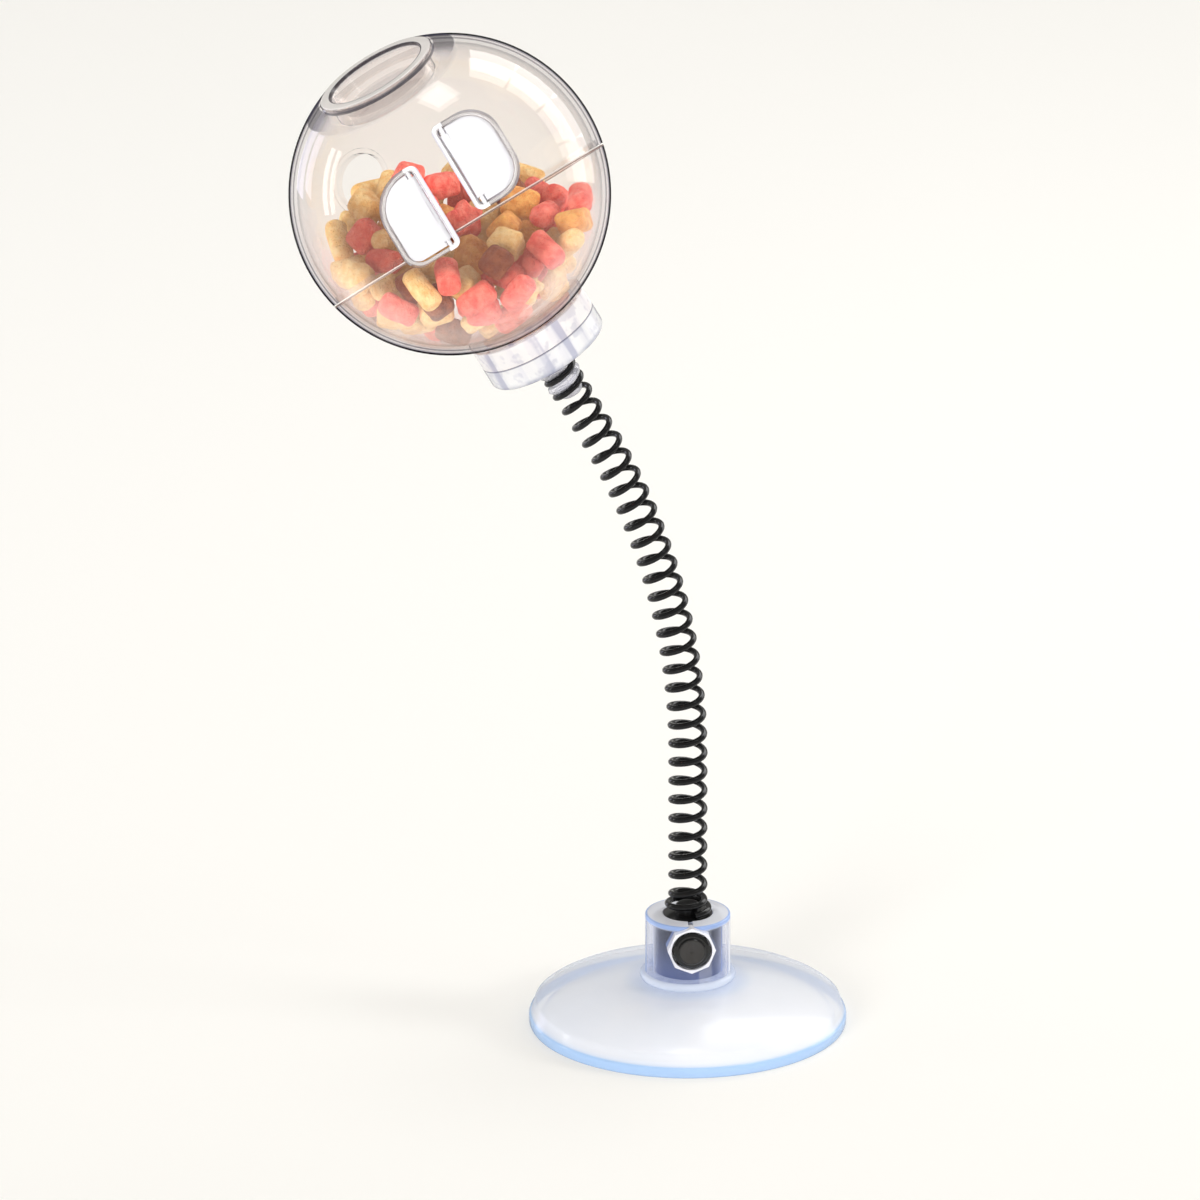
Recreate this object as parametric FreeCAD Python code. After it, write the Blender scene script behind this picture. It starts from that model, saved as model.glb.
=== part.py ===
import FreeCAD, Part
import math
import os
import random

V = FreeCAD.Vector
os.makedirs("parts", exist_ok=True)

# Driving sizes, in millimetres and degrees.
# Origin: centre of the suction cup's sealing plane. +Z up, +X right, +Y away from the front.

# Suction cup
cup_r = 40.0
cup_rim_height = 3.0
cup_rim_round = 0.8
cup_sealing_width = 2.6
cup_dome_height = 9.2
cup_wall = 2.9
cup_boss_r = 12.1
cup_boss_top = 14.0
cup_bead_r = 1.0
cup_stud_r = 6.0
cup_stud_height = 4.0
cup_stud_round = 0.8
cup_foot_round = 0.4

# Collar, plug and clamp screw
collar_r = 10.75
collar_wall = 2.0
collar_height = 15.3
collar_lip = 1.1
collar_edge_round = 0.45
plug_clearance = 0.15
plug_foot_gap = 0.3
plug_neck_r = 6.2
plug_post_r = 3.1
plug_post_height = 2.6
screw_height = 9.4
screw_turned_to = 5.0
screw_sides = 8
screw_head_r = 5.0
screw_head_height = 2.2
screw_face_r = 3.5
screw_face_height = 0.5
screw_shank_r = 2.0
screw_tip_from_axis = 4.2
screw_fit = 0.05
bezel_r = 6.1
bezel_back_from_axis = 9.0
bezel_front_from_axis = 12.0
bezel_floor = 1.0
bezel_pocket_clearance = 0.15

# Spring
wire_d = 1.6
wire_sides = 6
coil_r = 4.2
foot_coil_r = 5.25
foot_pitch = 2.2
foot_turns = 1.2
free_turns = 27.0
spigot_pitch = 4.2
spigot_turns = 2.6
blend_turns = 0.6
coil_start_angle = -70.0
seat_gap = 0.1
straight_run = 41.85
bend_r = 175.0
lean = 30.0
upper_run = 22.8

# Ball
ball_r = 40.4
ball_wall = 2.2
seam_drop = 9.4
seam_lean = 31.3
seam_tip = 21.0
seam_gap = 0.12
lip_width = 1.0
lip_height = 2.0
lip_fit = 0.08

# Neck, screw cap and spigot
neck_r = 16.0
neck_band = 6.3
neck_wall = 3.6
neck_step = 2.1
neck_insert = 3.8
cap_height = 6.3
cap_floor = 2.2
cap_edge_round = 1.5
cap_fit = 0.08
cap_gap = 0.1
lug_count = 3
lug_angle = 24.0
lug_height = 1.2
lug_depth = 0.9
lug_clearance = 0.2
lug_from_mouth = 1.8
unlock_angle = 60.0
spigot_flange_r = 8.0
spigot_flange = 1.5
spigot_length = 12.0
spigot_core_r = 3.3
spigot_round = 1.6
thread_r = 5.15
ridge_r = 1.0
ridge_turns = 2.0
ridge_from_cap = 1.1

# Filler hole and plug
filler_r = 14.0
filler_seat_r = 16.05
filler_seat_depth = 1.5
filler_shoulder = 4.6
lid_fit = 0.1
lid_proud = 0.3
lid_flange = 1.4
lid_depth = 5.4
lid_floor = 1.3
lid_recess_top_r = 13.2
lid_recess_floor_r = 11.4
lid_edge_round = 0.5

# Flap windows
window_height = {"left": 23.6, "right": 24.2}
window_width = {"left": 14.6, "right": 15.5}
window_mid = {"left": -0.9, "right": 4.0}
window_bar = 7.5
window_corner = 2.0
window_bow_low = {"left": 4.3, "right": 8.0}
window_bow_high = {"left": 10.5, "right": 8.0}
frame_band = 1.0
frame_proud = 0.8
frame_ledge = 0.9
frame_ledge_r = 38.85
frame_lift_gap = 0.4
hinge_from_edge = 2.6
flap_clearance = 0.6
flap_inner_r = 39.15
flap_outer_r = 40.2
barrel_r = 1.1
barrel_length = 18.0
barrel_gap = 0.6
barrel_depth = 1.6
pin_r = 0.55
pin_fit = 0.05
pin_room = 0.35
pin_short = 0.3

# Treat outlet at the back
outlet_r = 7.2
outlet_across = -17.6
outlet_up = 14.8
outlet_rim = 1.3
outlet_rim_proud = 0.5

# Treats
treat_clearance = 1.2
treat_gap = 0.12
treat_touch = 0.1
treat_near = 1.5
treat_steps = 3
treat_fill = -6.5
treat_slope = (-0.19, -0.12)
treat_mound = 8.0
treat_mound_r = 15.0
treat_mound_at = (-8.0, 9.0)
treat_tries = 30
treat_misses = 6
treat_seed = 11
treat_chamfer = 0.8
stick_sides = 8
star_points = 5
star_chamfer = 0.5


# Placements: the ball's own axis leans with the spring, and its parting plane has a lean of its own.
collar_top = cup_boss_top + collar_height
spring_start_z = collar_top + seat_gap + wire_d / 2
bend_start_z = spring_start_z + straight_run
lean_rad = math.radians(lean)
ball_axis = V(-math.sin(lean_rad), 0, math.cos(lean_rad))
bend_end = V(-bend_r * (1 - math.cos(lean_rad)), 0, bend_start_z + bend_r * math.sin(lean_rad))
cap_bottom = bend_end + ball_axis * upper_run
neck_meets_ball = math.sqrt(ball_r ** 2 - neck_r ** 2)
ball_to_neck_end = neck_meets_ball + neck_band
ball_to_cap_bottom = ball_to_neck_end + cap_height
ball_centre = cap_bottom + ball_axis * ball_to_cap_bottom
ball_inner_r = ball_r - ball_wall

AXIS_FRAME = FreeCAD.Placement(ball_centre, FreeCAD.Rotation(V(0, 1, 0), -lean))
SEAM_FRAME = FreeCAD.Placement(
    ball_centre, FreeCAD.Rotation(V(1, 0, 0), -seam_tip) * FreeCAD.Rotation(V(0, 1, 0), -seam_lean)
)
screw_z = cup_boss_top + screw_height
SCREW_FRAME = FreeCAD.Placement(
    V(0, 0, screw_z), FreeCAD.Rotation(V(0, 0, 1), screw_turned_to) * FreeCAD.Rotation(V(1, 0, 0), 90)
)


# Helpers
def save(node, shape):
    """Writes one node's solids as a STEP file and prints its volume."""
    shape.exportStep("parts/%s.step" % node)
    print("%-20s %2d solids %10.1f mm3 valid %s" % (node, len(shape.Solids), shape.Volume, shape.isValid()))


def moved(shape, placement):
    """A copy of the shape, placed from its own frame into the part's frame."""
    copy = shape.copy()
    copy.Placement = placement.multiply(copy.Placement)
    return copy


def turned(profile):
    """A solid of revolution about Z from (r, z) points. Four numbers are an arc's middle and end."""
    edges = []
    at = V(profile[0][0], 0, profile[0][1])
    first = at
    for step in list(profile[1:]) + [profile[0]]:
        end = V(step[-2], 0, step[-1])
        if (end - at).Length < 1e-6:
            continue
        if len(step) == 4:
            edges.append(Part.Arc(at, V(step[0], 0, step[1]), end).toShape())
        else:
            edges.append(Part.LineSegment(at, end).toShape())
        at = end
    if (at - first).Length > 1e-6:
        edges.append(Part.LineSegment(at, first).toShape())
    return Part.Face(Part.Wire(edges)).revolve(V(0, 0, 0), V(0, 0, 1), 360)


def on_circle(radius, height):
    """The r of a circle about the origin at that height."""
    return math.sqrt(radius ** 2 - height ** 2)


def arc_to(radius, r0, z0, r1, z1):
    """The step of a profile that follows a circle about the origin from one point to another."""
    middle = (math.atan2(z0, r0) + math.atan2(z1, r1)) / 2
    return (radius * math.cos(middle), radius * math.sin(middle), r1, z1)


def ring(r_in, r_out, z_low, z_high):
    """A plain tube about Z."""
    return turned([(r_in, z_low), (r_out, z_low), (r_out, z_high), (r_in, z_high)])


def disc(radius, z_low, z_high):
    """A plain cylinder about Z."""
    return Part.makeCylinder(radius, z_high - z_low, V(0, 0, z_low))


def polygon_prism(radius, sides, z_low, z_high, first_angle):
    """A regular prism about Z."""
    points = []
    for i in range(sides + 1):
        angle = math.radians(first_angle) + 2 * math.pi * i / sides
        points.append(V(radius * math.cos(angle), radius * math.sin(angle), z_low))
    return Part.Face(Part.makePolygon(points)).extrude(V(0, 0, z_high - z_low))


def rounded_edge(radius, height, size):
    """Profile steps that round the upper outer edge of a disc: up to the edge, over it, and level again."""
    diagonal = size * (1 - math.sqrt(0.5))
    return [(radius, height - size), (radius - diagonal, height - diagonal, radius - size, height)]


# Suction cup: an inverted saucer with a flat-footed rim, a boss with a bead under the collar, and a stud
def suction_cup():
    """Turned in one profile. The hollow follows the outer dome, one wall lower."""
    rim_in = cup_r - cup_sealing_width

    def outer(share):
        return (share * cup_r, cup_rim_height + cup_dome_height * math.sqrt(1 - share ** 2))

    def under(share):
        r, z = outer(share)
        return (r * rim_in / cup_r, z - cup_wall)

    bead_in = cup_boss_r - cup_bead_r
    stud_top = cup_boss_top + cup_stud_height
    profile = [(rim_in, 0), (cup_r - cup_foot_round, 0), (cup_r, cup_foot_round)]
    profile += rounded_edge(cup_r, cup_rim_height, cup_rim_round)
    profile += [outer(0.96), outer(0.94) + outer(0.86), outer(0.72) + outer(0.55)]
    profile += [(bead_in, outer(bead_in / cup_r)[1]), (bead_in, cup_boss_top - 2 * cup_bead_r)]
    profile += [(cup_boss_r, cup_boss_top - cup_bead_r, bead_in, cup_boss_top), (cup_stud_r, cup_boss_top)]
    profile += [(cup_stud_r, stud_top - cup_stud_round), (cup_stud_r - cup_stud_round, stud_top)]
    profile += [(0, stud_top)]
    profile += [under(0), under(0.55), under(0.86) + under(0.97)]
    return turned(profile)


# Collar: a clear tube with an inward lip at its top and an eight-sided window for the bezel
def collar():
    top = collar_top
    bore = collar_r - collar_wall
    lip_r = plug_neck_r + plug_clearance
    profile = [(bore, cup_boss_top), (collar_r, cup_boss_top)]
    profile += rounded_edge(collar_r, top, collar_edge_round)
    profile += [(lip_r, top), (lip_r, top - collar_lip), (bore, top - collar_lip)]
    window = polygon_prism(bezel_r + screw_fit, screw_sides, 0, 2 * collar_r, 90.0)
    return turned(profile).cut(moved(window, SCREW_FRAME))


# Plug: the dark core that takes the cup's stud below and carries the spring's foot above
def spring_plug():
    top = collar_top
    body_r = collar_r - collar_wall - plug_clearance
    bottom = cup_boss_top + plug_foot_gap
    shoulder_z = top - collar_lip - plug_clearance
    stud_bore = cup_stud_r + plug_clearance
    stud_top = cup_boss_top + cup_stud_height + plug_foot_gap
    profile = [(stud_bore, bottom), (body_r, bottom), (body_r, shoulder_z), (plug_neck_r, shoulder_z)]
    profile += [(plug_neck_r, top), (plug_post_r, top)]
    profile += rounded_edge(plug_post_r, top + plug_post_height, 0.8)
    profile += [(0, top + plug_post_height), (0, stud_top), (stud_bore, stud_top)]
    tapped = disc(screw_shank_r + screw_fit, screw_tip_from_axis - plug_foot_gap, 2 * collar_r)
    relief = disc(bezel_r, bezel_back_from_axis - plug_clearance, 2 * collar_r)
    return turned(profile).cut(moved(tapped, SCREW_FRAME)).cut(moved(relief, SCREW_FRAME))


# Bezel: the clear eight-sided bush in the collar's wall, with a round pocket for the screw's head
def screw_bezel():
    block = polygon_prism(bezel_r, screw_sides, bezel_back_from_axis, bezel_front_from_axis, 90.0)
    pocket = disc(screw_head_r + bezel_pocket_clearance, bezel_back_from_axis + bezel_floor, 2 * collar_r)
    hole = disc(screw_shank_r + screw_fit, 0, 2 * collar_r)
    return moved(block.cut(pocket).cut(hole), SCREW_FRAME)


# Clamp screw: an eight-sided head with a round dished face, and a shank that runs into the plug
def clamp_screw():
    head_low = bezel_back_from_axis + bezel_floor + seat_gap
    head_high = head_low + screw_head_height
    head = polygon_prism(screw_head_r, screw_sides, head_low, head_high, 90.0)
    slope = turned([
        (0, head_low), (screw_head_r, head_low), (screw_head_r, head_high - 0.7),
        (screw_head_r - 0.9, head_high), (0, head_high),
    ])
    face_top = head_high + screw_face_height
    face = turned([
        (0, head_high - 0.3), (screw_face_r, head_high - 0.3), (screw_face_r, face_top - 0.2),
        (screw_face_r - 0.2, face_top), (screw_face_r - 0.6, face_top), (0, face_top - 0.35),
    ])
    shank = disc(screw_shank_r, screw_tip_from_axis, head_low + 0.2)
    return moved(head.common(slope).fuse([face, shank]).removeSplitter(), SCREW_FRAME)


# Spring: one wire, wound by a formula along a centreline that rises, bends and leans
def centre_at(s):
    """Point of the spring's centreline and its lean there, at distance s from the first coil."""
    bend_length = bend_r * lean_rad
    if s < straight_run:
        return V(0, 0, spring_start_z + s), 0.0
    if s < straight_run + bend_length:
        a = (s - straight_run) / bend_r
        return V(-bend_r * (1 - math.cos(a)), 0, bend_start_z + bend_r * math.sin(a)), a
    return bend_end + ball_axis * (s - straight_run - bend_length), lean_rad


total_turns = foot_turns + free_turns + spigot_turns + 2 * blend_turns
coil_length = straight_run + bend_r * lean_rad + upper_run - seat_gap - wire_d / 2
fixed_length = (foot_turns + blend_turns / 2) * foot_pitch + (spigot_turns + blend_turns / 2) * spigot_pitch
free_pitch = (coil_length - fixed_length) / (free_turns + blend_turns)
pitch_table = (
    (0.0, foot_pitch), (foot_turns, foot_pitch), (foot_turns + blend_turns, free_pitch),
    (foot_turns + blend_turns + free_turns, free_pitch), (total_turns - spigot_turns, spigot_pitch),
    (total_turns, spigot_pitch),
)


def climb(turn):
    """Distance along the centreline after so many turns. The pitch changes evenly between rows."""
    gone = 0.0
    for (u0, p0), (u1, p1) in zip(pitch_table, pitch_table[1:]):
        if turn <= u0:
            break
        u = min(turn, u1)
        p = p0 + (p1 - p0) * (u - u0) / (u1 - u0)
        gone += (u - u0) * (p0 + p) / 2
    return gone


def coil_point(turn):
    """Point of the wire's centreline."""
    centre, a = centre_at(climb(turn))
    shrink = min(1.0, max(0.0, (turn - 0.5) / (foot_turns - 0.5)))
    r = foot_coil_r + (coil_r - foot_coil_r) * shrink * shrink * (3 - 2 * shrink)
    phase = math.radians(coil_start_angle) + 2 * math.pi * turn
    across = V(math.cos(a), 0, math.sin(a))
    return centre + across * (r * math.cos(phase)) + V(0, r * math.sin(phase), 0)


def arc_edge(start, tangent, end):
    """The arc that leaves start along tangent and reaches end."""
    chord = end - start
    along = V(chord).normalize()
    cos_half = tangent.dot(along)
    bulge = tangent - along * cos_half
    half = math.acos(min(1.0, cos_half))
    middle = (start + end) * 0.5 + bulge.normalize() * (chord.Length / 2 * math.tan(half / 2))
    return start, middle, end


def biarc(p0, t0, p1, t1):
    """Two tangent arcs from p0 to p1 with the given directions at the ends."""
    v = p1 - p0
    t = t0 + t1
    k = 2 * (1 - t0.dot(t1))
    d = (math.sqrt(v.dot(t) ** 2 + k * v.dot(v)) - v.dot(t)) / k
    joint = (p0 + p1 + (t0 - t1) * d) * 0.5
    back = arc_edge(p1, t1 * -1, joint)
    return arc_edge(p0, t0, joint), (back[2], back[1], back[0])


def wound_bar(point_at, first, last, radius, sides):
    """One bar swept along a winding in arcs that meet smoothly, its length and its section's area."""
    halves = round((last - first) * 2)
    step = 0.002
    points = []
    for i in range(halves + 1):
        turn = first + (last - first) * i / halves
        low, high = max(first, turn - step), min(last, turn + step)
        points.append((point_at(turn), (point_at(high) - point_at(low)).normalize()))
    edges = []
    for (p0, t0), (p1, t1) in zip(points, points[1:]):
        edges += [Part.Arc(*arc).toShape() for arc in biarc(p0, t0, p1, t1)]
    start, tangent = points[0]
    side = tangent.cross(V(0, 0, 1)).normalize()
    up = side.cross(tangent)
    corners = []
    for i in range(sides + 1):
        angle = 2 * math.pi * (i + 0.5) / sides
        corners.append(start + side * (radius * math.cos(angle)) + up * (radius * math.sin(angle)))
    shell = Part.BRepOffsetAPI.MakePipeShell(Part.Wire(edges))
    shell.add(Part.makePolygon(corners))
    shell.build()
    shell.makeSolid()
    section = Part.Face(Part.makePolygon(corners)).Area
    return shell.shape(), sum(e.Length for e in edges), section


def spring():
    solid, length, section = wound_bar(coil_point, 0.0, total_turns, wire_d / 2, wire_sides)
    fullness = solid.Volume / section / length
    print("spring: wire %.1f mm long, volume over section times length %.4f" % (length, fullness))
    return solid


def least_coil_gap():
    """The least clear distance of the wire to itself, on points a fifteenth of a turn apart."""
    per_turn = 15
    points = [coil_point(i / per_turn) for i in range(int(total_turns * per_turn) + 1)]
    least = 1e9
    for i, p in enumerate(points):
        for q in points[i + per_turn * 2 // 3:i + per_turn * 3]:
            least = min(least, (p - q).Length)
    return least - wire_d


# Ball shells: two parts of one hollow sphere, parted by a plane below its middle
def seam_tongue_r():
    return on_circle(ball_inner_r, seam_drop) + lip_width


def lower_bowl():
    edge_out = on_circle(ball_r, seam_drop)
    edge_in = on_circle(ball_inner_r, seam_drop)
    tongue_top = lip_height - seam_drop
    profile = [(edge_in, -seam_drop), (edge_in, tongue_top), (seam_tongue_r(), tongue_top)]
    profile += [(seam_tongue_r(), -seam_drop), (edge_out, -seam_drop)]
    profile += [arc_to(ball_r, edge_out, -seam_drop, 0, -ball_r), (0, -ball_inner_r)]
    profile += [arc_to(ball_inner_r, 0, -ball_inner_r, edge_in, -seam_drop)]
    return turned(profile)


def upper_dome():
    low = seam_gap - seam_drop
    groove_r = seam_tongue_r() + lip_fit
    groove_top = lip_height - seam_drop + 2 * lip_fit
    edge_out = on_circle(ball_r, low)
    groove_in = on_circle(ball_inner_r, groove_top)
    profile = [(groove_r, low), (edge_out, low), arc_to(ball_r, edge_out, low, 0, ball_r)]
    profile += [(0, ball_inner_r), arc_to(ball_inner_r, 0, ball_inner_r, groove_in, groove_top)]
    profile += [(groove_r, groove_top)]
    return turned(profile)


# Flap windows, drawn as seen from straight in front of the seam: X along the seam, Z across it
def window_outline(side, inset, straight_x):
    """The D-shaped outline of a window, drawn in by inset: straight beside the bar, bowed outside."""
    sign = 1 if side == "right" else -1
    x0 = straight_x
    x1 = window_bar / 2 + window_width[side] - inset
    z0 = window_mid[side] - window_height[side] / 2 + inset
    z1 = window_mid[side] + window_height[side] / 2 - inset
    small = max(0.3, window_corner - inset)
    low = max(0.5, window_bow_low[side] - inset)
    high = max(0.5, window_bow_high[side] - inset)
    k = 1 - math.sqrt(0.5)
    steps = [
        (x0, z0 + small), (x0, z1 - small), (x0 + small * k, z1 - small * k, x0 + small, z1),
        (x1 - high, z1), (x1 - high * k, z1 - high * k, x1, z1 - high),
        (x1, z0 + low), (x1 - low * k, z0 + low * k, x1 - low, z0),
        (x0 + small, z0), (x0 + small * k, z0 + small * k, x0, z0 + small),
    ]
    edges = []
    at = V(sign * steps[0][0], 0, steps[0][1])
    for step in steps[1:]:
        end = V(sign * step[-2], 0, step[-1])
        if len(step) == 4:
            edges.append(Part.Arc(at, V(sign * step[0], 0, step[1]), end).toShape())
        else:
            edges.append(Part.LineSegment(at, end).toShape())
        at = end
    return Part.Face(Part.Wire(edges))


def window_prism(side, inset, straight_x=None):
    """The outline pushed out through the ball's front. straight_x moves its straight edge elsewhere."""
    if straight_x is None:
        straight_x = window_bar / 2 + inset
    return window_outline(side, inset, straight_x).extrude(V(0, -1.3 * ball_r, 0))


def hinge_axis(side):
    """Middle and direction of a flap's hinge in the seam's frame: beside the bar, square to the radius."""
    x = (window_bar / 2 + hinge_from_edge) * (1 if side == "right" else -1)
    z = window_mid[side]
    r = ball_r - barrel_depth
    tip = math.asin(z / r)
    y = -math.sqrt(r ** 2 - x ** 2 - z ** 2)
    return V(x, y, z), V(0, math.sin(tip), math.cos(tip))


def hinge_cylinder(side, radius, length):
    middle, along = hinge_axis(side)
    return Part.makeCylinder(radius, length, middle - along * (length / 2), along)


def pin_hole_length(side):
    return window_height[side] - 2 * pin_short


def hollow_ball(r_in, r_out):
    """A spherical shell about the origin."""
    return Part.makeSphere(r_out).cut(Part.makeSphere(r_in))


def flap_frame(side):
    """The clear frame of a window: a proud band, a ledge that the flap closes on, and room for its hinge.

    Below the seam its inside is turned back to a cylinder, so that it lifts out past the treats.
    """
    band = window_prism(side, 0).common(hollow_ball(ball_inner_r, ball_r + frame_proud))
    opening = window_prism(side, frame_band).cut(Part.makeSphere(frame_ledge_r))
    inner = window_prism(side, frame_band + frame_ledge)
    room = hinge_cylinder(side, barrel_r + barrel_gap, barrel_length + 2 * barrel_gap)
    hole = hinge_cylinder(side, pin_r, pin_hole_length(side))
    lift = disc(on_circle(ball_inner_r, seam_drop) + frame_lift_gap, -ball_r, 0)
    return band.cut(opening).cut(inner).cut(room).cut(hole).cut(lift)


def flap(side):
    """A white flap that fills its window from the hinge's axis outwards, with a barrel along that edge."""
    hinge_x = window_bar / 2 + hinge_from_edge
    panel = window_prism(side, frame_band + flap_clearance, hinge_x)
    panel = panel.common(hollow_ball(flap_inner_r, flap_outer_r))
    panel = panel.cut(hinge_cylinder(side, pin_r + pin_room, 2 * barrel_length))
    barrel = hinge_cylinder(side, barrel_r, barrel_length)
    return panel.fuse(barrel).cut(hinge_cylinder(side, pin_r + pin_fit, 2 * barrel_length))


def flap_pin(side):
    return hinge_cylinder(side, pin_r, pin_hole_length(side) - 0.2)


def lower_shell():
    inner_r = neck_r - neck_wall
    start = -(neck_meets_ball - 0.5)
    neck = ring(inner_r, neck_r, -ball_to_neck_end, start)
    insert_r = neck_r - neck_step
    insert_end = -(ball_to_neck_end + neck_insert)
    insert = ring(inner_r, insert_r, insert_end, start)
    pieces = [neck, insert]
    lug_low = insert_end + lug_clearance + 0.6
    for i in range(lug_count):
        lug = ring(insert_r - 0.5, insert_r + lug_depth, lug_low, lug_low + lug_height)
        pieces.append(wedge_of(lug, 360 / lug_count * i, lug_angle))
    body = moved(lower_bowl(), SEAM_FRAME).fuse([moved(p, AXIS_FRAME) for p in pieces])
    for side in window_mid:
        body = body.cut(moved(window_prism(side, -lid_fit), SEAM_FRAME))
    return body.removeSplitter()


def wedge_of(shape, middle_angle, width):
    """The part of a ring about Z that lies within width degrees about middle_angle."""
    reach = 4 * neck_r
    a0, a1 = math.radians(middle_angle - width / 2), math.radians(middle_angle + width / 2)
    corners = [V(0, 0, -reach), V(reach * math.cos(a0), reach * math.sin(a0), -reach)]
    corners += [V(reach * math.cos(a1), reach * math.sin(a1), -reach), V(0, 0, -reach)]
    return shape.common(Part.Face(Part.makePolygon(corners)).extrude(V(0, 0, 2 * reach)))


# Cap: clips over the neck with a quarter-turn lock, and carries the spigot in its floor
def neck_cap():
    bottom = -ball_to_cap_bottom
    mouth = -(ball_to_neck_end + cap_gap)
    floor_top = bottom + cap_floor
    bore = neck_r - neck_step + cap_fit
    profile = [(thread_r + 0.15, bottom), (neck_r - cap_edge_round, bottom)]
    k = cap_edge_round * (1 - math.sqrt(0.5))
    profile += [(neck_r - k, bottom + k, neck_r, bottom + cap_edge_round), (neck_r, mouth)]
    profile += [(bore, mouth), (bore, floor_top), (thread_r + 0.15, floor_top)]
    body = turned(profile)
    insert_end = -(ball_to_neck_end + neck_insert)
    lug_low = insert_end + lug_clearance + 0.6
    track_r = neck_r - neck_step + lug_depth + lug_clearance
    lug_high = lug_low + lug_height
    body = body.cut(ring(bore - 0.5, track_r, lug_low - lug_clearance, lug_high + lug_clearance))
    for i in range(lug_count):
        slot = ring(bore - 0.5, track_r, lug_low, mouth + 1)
        body = body.cut(wedge_of(slot, 360 / lug_count * i + unlock_angle, lug_angle + 4))
    return moved(body, AXIS_FRAME)


def ridge_point(turn):
    """Point of the spigot's ridge in the ball axis's frame, half a turn off the spring's last coils."""
    z = -ball_to_cap_bottom - ridge_from_cap + (turn - total_turns) * spigot_pitch
    coil_z = -ball_to_cap_bottom - seat_gap - wire_d / 2
    angle = math.radians(coil_start_angle + 180) + 2 * math.pi * (total_turns + (z - coil_z) / spigot_pitch)
    r = thread_r - ridge_r
    return V(r * math.cos(angle), r * math.sin(angle), z)


def spigot():
    bottom = -ball_to_cap_bottom
    floor_top = bottom + cap_floor
    end = bottom - spigot_length
    flange_top = floor_top + spigot_flange
    k = spigot_round * (1 - math.sqrt(0.5))
    profile = [(0, end), (spigot_core_r - spigot_round, end)]
    profile += [(spigot_core_r - k, end + k, spigot_core_r, end + spigot_round), (spigot_core_r, bottom)]
    profile += [(thread_r, bottom), (thread_r, floor_top), (spigot_flange_r, floor_top)]
    profile += [(spigot_flange_r, flange_top), (0, flange_top)]
    ridge, _, _ = wound_bar(ridge_point, total_turns - ridge_turns, total_turns, ridge_r, wire_sides)
    return moved(turned(profile).fuse(ridge), AXIS_FRAME)


def outlet_place():
    """The treat outlet's frame: Z runs out along its radius, as seen in the seam's frame."""
    y = math.sqrt(ball_r ** 2 - outlet_across ** 2 - outlet_up ** 2)
    out = V(outlet_across, y, outlet_up).normalize()
    return FreeCAD.Placement(V(0, 0, 0), FreeCAD.Rotation(V(0, 0, 1), out))


def upper_shell():
    dome = moved(upper_dome(), SEAM_FRAME)
    seat_z = math.sqrt(ball_r ** 2 - filler_seat_r ** 2)
    shoulder_low = seat_z - filler_shoulder
    shoulder = ring(filler_r, on_circle(ball_inner_r, shoulder_low) + 0.6, shoulder_low, ball_r)
    shoulder = shoulder.common(Part.makeSphere(ball_inner_r + 0.8))
    rim_place = outlet_place()
    rim = ring(outlet_r, outlet_r + outlet_rim, 0.8 * ball_r, 1.1 * ball_r)
    rim = rim.common(hollow_ball(ball_inner_r + 0.5, ball_r + outlet_rim_proud))
    body = dome.fuse([moved(shoulder, AXIS_FRAME), moved(moved(rim, rim_place), SEAM_FRAME)])
    bore = disc(filler_r, 0, 2 * ball_r)
    seat = disc(filler_seat_r, seat_z - filler_seat_depth, 2 * ball_r)
    body = body.cut(moved(bore.fuse(seat), AXIS_FRAME))
    hole = moved(disc(outlet_r, 0, 2 * ball_r), rim_place)
    body = body.cut(moved(hole, SEAM_FRAME))
    for side in window_mid:
        body = body.cut(moved(window_prism(side, -0.02), SEAM_FRAME))
    return body


def filler_lid():
    seat_z = math.sqrt(ball_r ** 2 - filler_seat_r ** 2) - filler_seat_depth
    top = seat_z + filler_seat_depth + lid_proud
    under = top - lid_flange
    rim_r = filler_seat_r - lid_fit
    skirt_r = filler_r - lid_fit
    low = under - lid_depth
    k = lid_edge_round * (1 - math.sqrt(0.5))
    profile = [(0, low), (skirt_r - 0.6, low), (skirt_r, low + 0.6), (skirt_r, under), (rim_r, under)]
    profile += [(rim_r, top - lid_edge_round), (rim_r - k, top - k, rim_r - lid_edge_round, top)]
    profile += [(lid_recess_top_r, top), (lid_recess_floor_r, low + lid_floor), (0, low + lid_floor)]
    return moved(turned(profile), AXIS_FRAME)


# Treats: chamfered pillows, eight-sided sticks and stars, dropped one by one into the ball
def pillow(a, b, c):
    block = Part.makeBox(a, b, c, V(-a / 2, -b / 2, -c / 2))
    return block.makeChamfer(treat_chamfer, block.Edges)


def stick(length, diameter):
    r = diameter / 2
    core = polygon_prism(r, stick_sides, -length / 2, length / 2, 22.5)
    ends = [e for e in core.Edges if abs(abs(e.CenterOfMass.z) - length / 2) < 1e-6]
    solid = core.makeChamfer(treat_chamfer * 0.8, ends)
    solid.rotate(V(0, 0, 0), V(0, 1, 0), 90)
    return solid


def ball_row(shape, half, rows):
    """Centres of balls along X, and their radius, that together hold the shape."""
    centres = []
    for y in rows:
        for i in (-1, 0, 1):
            centres.append(V(half * i, y, 0))
    radius = max(min((v.Point - c).Length for c in centres) for v in shape.Vertexes)
    return centres, radius + treat_gap / 2


def star(outer, inner, thick):
    """A five-pointed biscuit with chamfered faces."""
    points = []
    for k in range(2 * star_points + 1):
        r = (outer, inner)[k % 2]
        angle = math.pi * k / star_points
        points.append(V(r * math.cos(angle), r * math.sin(angle), -thick / 2))
    block = Part.Face(Part.makePolygon(points)).extrude(V(0, 0, thick))
    rims = [e for e in block.Edges if abs(abs(e.CenterOfMass.z) - thick / 2) < 1e-6]
    return block.makeChamfer(star_chamfer, rims)


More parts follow.
